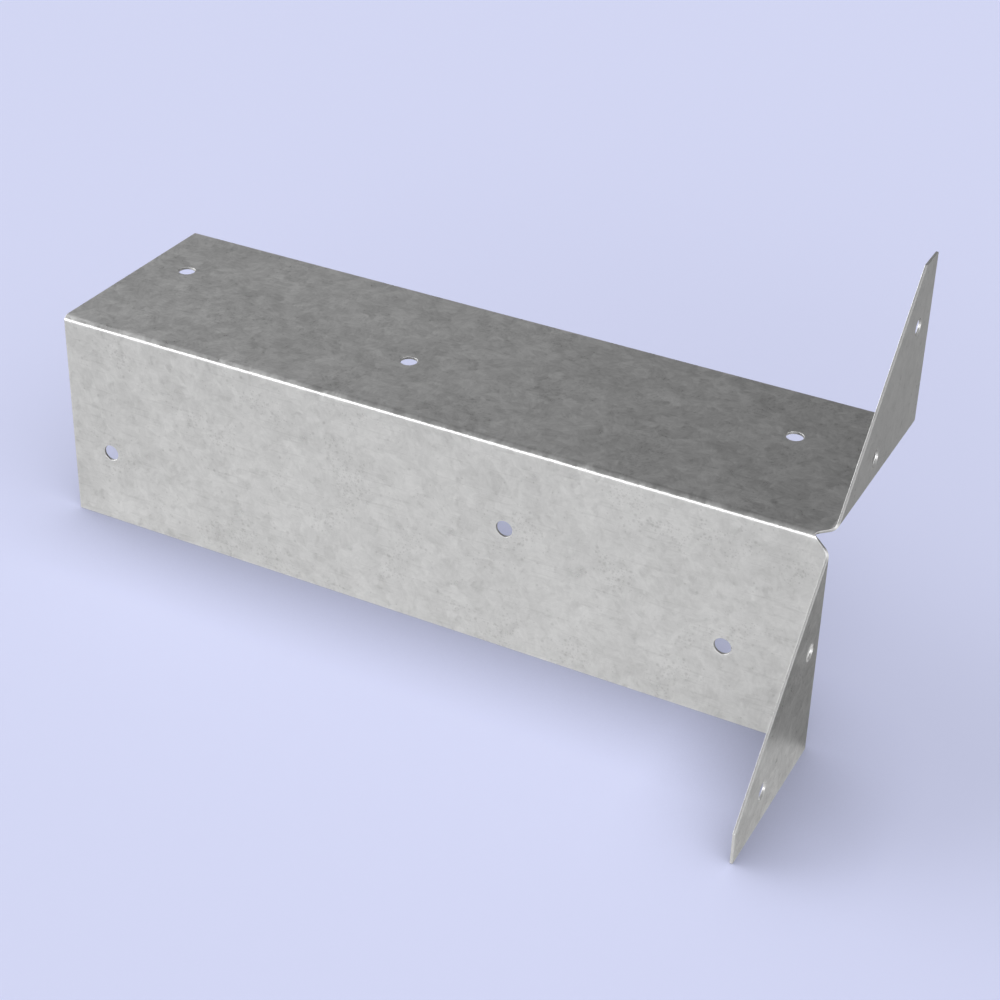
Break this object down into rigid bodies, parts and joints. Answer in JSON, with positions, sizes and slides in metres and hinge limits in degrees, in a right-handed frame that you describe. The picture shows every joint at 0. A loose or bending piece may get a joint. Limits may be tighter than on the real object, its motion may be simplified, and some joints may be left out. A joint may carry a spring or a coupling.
{
  "type": "roof bracket",
  "caption": "Right-angle bracket folded from one galvanised sheet, with two equal punched plates and a tapered mounting tab folded outward from each at one end.",
  "frame": {"origin": "middle of the underside of the outer box, level with the lower edges of the front plate and the lower tab", "axes": "+X along the long bend, towards the tabs; +Z out of the top plate; the front plate faces -Y"},
  "size_m": [0.3048, 0.1516, 0.1515],
  "materials": {
    "galvanised_steel": "satin hot-dip galvanised, faintly mottled spangle"
  },
  "bodies": {
    "root": {"bracket_body": "galvanised_steel"}
  },
  "joints": []
}
